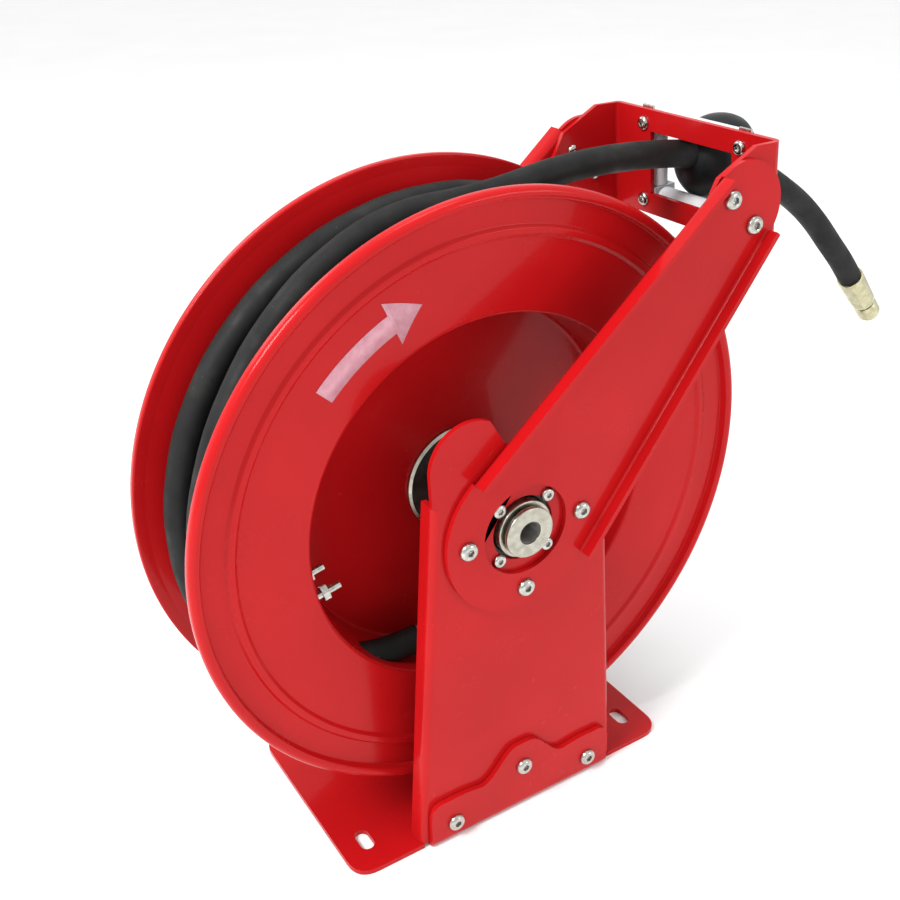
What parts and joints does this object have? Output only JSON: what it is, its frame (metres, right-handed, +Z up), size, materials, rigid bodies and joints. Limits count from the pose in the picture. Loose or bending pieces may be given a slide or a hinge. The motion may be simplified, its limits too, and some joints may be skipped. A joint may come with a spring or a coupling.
{
  "type": "fire hose reel",
  "caption": "Spring-rewind hose reel on two bolted pedestals, with a slanted guide arm, roller outlet, ball stop and a wound rubber hose.",
  "frame": {"origin": "centre of the base plate's underside, below the reel's axis", "axes": "+Z up; the reel's axis is along Y, with the inlet swivel's front side facing -Y; the hose leaves towards +X"},
  "size_m": [0.78, 0.2196, 0.539],
  "materials": {
    "base_plate": "gloss powder coat",
    "front_pedestal": "gloss powder coat",
    "rear_pedestal": "gloss powder coat",
    "front_arm": "gloss powder coat",
    "rear_arm": "gloss powder coat",
    "roller_bracket": "gloss powder coat",
    "corner_block_upper_front": "satin",
    "corner_block_upper_rear": "satin",
    "corner_block_lower_front": "satin",
    "corner_block_lower_rear": "satin",
    "roller_pin_upper": "turned, light oil",
    "roller_pin_lower": "turned, light oil",
    "roller_pin_front": "turned, light oil",
    "roller_pin_rear": "turned, light oil",
    "front_arm_bolt_east": "bright zinc plate",
    "front_arm_bolt_west": "bright zinc plate",
    "front_arm_bolt_south": "bright zinc plate",
    "front_tip_bolt_1": "bright zinc plate",
    "front_tip_bolt_2": "bright zinc plate",
    "rear_tip_bolt_1": "bright zinc plate",
    "rear_tip_bolt_2": "bright zinc plate",
    "front_foot_bolt_1": "bright zinc plate",
    "front_foot_bolt_2": "bright zinc plate",
    "front_foot_bolt_3": "bright zinc plate",
    "rear_foot_bolt_1": "bright zinc plate",
    "rear_foot_bolt_2": "bright zinc plate",
    "rear_foot_bolt_3": "bright zinc plate",
    "spring_arbor": "turned, light oil",
    "pawl_pin": "bright zinc plate",
    "pawl_spring": "turned, light oil",
    "front_bearing_housing": "phosphated",
    "hose_lead": "matt, lightly dusted",
    "hose_ferrule": "pale yellow zinc plate",
    "hose_end_nut": "pale yellow zinc plate",
    "stop_ball_front": "satin moulded",
    "stop_ball_rear": "satin moulded",
    "front_disc": "gloss powder coat",
    "rear_disc": "gloss powder coat",
    "drum_shell": "gloss powder coat",
    "hub_flange": "phosphated",
    "spool_shaft": "turned, light oil",
    "bearing_collar": "turned, light oil",
    "spring_case": "gloss powder coat",
    "spring_cover": "gloss powder coat",
    "spiral_spring": "phosphated",
    "ratchet_wheel": "phosphated",
    "hub_elbow": "bright zinc plate",
    "tail_ferrule": "bright zinc plate",
    "hose_tail": "matt, lightly dusted",
    "clamp_ubolt": "bright zinc plate",
    "clamp_nut_1": "bright zinc plate",
    "clamp_nut_2": "bright zinc plate",
    "hose_winding": "matt, lightly dusted",
    "inlet_swivel": "turned, light oil",
    "roller_upper": "satin",
    "roller_lower": "satin",
    "roller_front": "satin",
    "roller_rear": "satin",
    "pawl": "phosphated"
  },
  "bodies": {
    "frame": {"base_plate": "base_plate", "front_pedestal": "front_pedestal", "rear_pedestal": "rear_pedestal", "front_arm": "front_arm", "rear_arm": "rear_arm", "roller_bracket": "roller_bracket", "corner_block_upper_front": "corner_block_upper_front", "corner_block_upper_rear": "corner_block_upper_rear", "corner_block_lower_front": "corner_block_lower_front", "corner_block_lower_rear": "corner_block_lower_rear", "roller_pin_upper": "roller_pin_upper", "roller_pin_lower": "roller_pin_lower", "roller_pin_front": "roller_pin_front", "roller_pin_rear": "roller_pin_rear", "front_arm_bolt_east": "front_arm_bolt_east", "front_arm_bolt_west": "front_arm_bolt_west", "front_arm_bolt_south": "front_arm_bolt_south", "front_tip_bolt_1": "front_tip_bolt_1", "front_tip_bolt_2": "front_tip_bolt_2", "rear_tip_bolt_1": "rear_tip_bolt_1", "rear_tip_bolt_2": "rear_tip_bolt_2", "front_foot_bolt_1": "front_foot_bolt_1", "front_foot_bolt_2": "front_foot_bolt_2", "front_foot_bolt_3": "front_foot_bolt_3", "rear_foot_bolt_1": "rear_foot_bolt_1", "rear_foot_bolt_2": "rear_foot_bolt_2", "rear_foot_bolt_3": "rear_foot_bolt_3", "spring_arbor": "spring_arbor", "pawl_pin": "pawl_pin", "pawl_spring": "pawl_spring", "front_bearing_housing": "front_bearing_housing", "hose_lead": "hose_lead", "hose_ferrule": "hose_ferrule", "hose_end_nut": "hose_end_nut", "stop_ball_front": "stop_ball_front", "stop_ball_rear": "stop_ball_rear"},
    "spool": {"front_disc": "front_disc", "rear_disc": "rear_disc", "drum_shell": "drum_shell", "hub_flange": "hub_flange", "spool_shaft": "spool_shaft", "bearing_collar": "bearing_collar", "spring_case": "spring_case", "spring_cover": "spring_cover", "spiral_spring": "spiral_spring", "ratchet_wheel": "ratchet_wheel", "hub_elbow": "hub_elbow", "tail_ferrule": "tail_ferrule", "hose_tail": "hose_tail", "clamp_ubolt": "clamp_ubolt", "clamp_nut_1": "clamp_nut_1", "clamp_nut_2": "clamp_nut_2", "hose_winding": "hose_winding"},
    "inlet_swivel": {"inlet_swivel": "inlet_swivel"},
    "roller_upper": {"roller_upper": "roller_upper"},
    "roller_lower": {"roller_lower": "roller_lower"},
    "roller_front": {"roller_front": "roller_front"},
    "roller_rear": {"roller_rear": "roller_rear"},
    "pawl": {"pawl": "pawl"}
  },
  "joints": [
    {"name": "spool_turn", "type": "hinge", "parent": "frame", "child": "spool", "pos_m": [0, 0, 0.282], "axis": [0, 1, 0], "continuous": true},
    {"name": "inlet_turn", "type": "hinge", "parent": "frame", "child": "inlet_swivel", "pos_m": [0, -0.095, 0.282], "axis": [0, 1, 0], "continuous": true},
    {"name": "upper_roller_turn", "type": "hinge", "parent": "frame", "child": "roller_upper", "pos_m": [0.2451, 0, 0.52713], "axis": [0, 1, 0], "continuous": true},
    {"name": "lower_roller_turn", "type": "hinge", "parent": "frame", "child": "roller_lower", "pos_m": [0.25056, 0, 0.46135], "axis": [0, 1, 0], "continuous": true},
    {"name": "front_roller_turn", "type": "hinge", "parent": "frame", "child": "roller_front", "pos_m": [0.24783, -0.056, 0.49424], "axis": [-0.0827, 0, 0.9966], "continuous": true},
    {"name": "rear_roller_turn", "type": "hinge", "parent": "frame", "child": "roller_rear", "pos_m": [0.24783, 0.056, 0.49424], "axis": [-0.0827, 0, 0.9966], "continuous": true},
    {"name": "pawl_swing", "type": "hinge", "parent": "frame", "child": "pawl", "pos_m": [-0.048, 0.052, 0.344], "axis": [0, 1, 0], "range_deg": [-14, 0]}
  ]
}
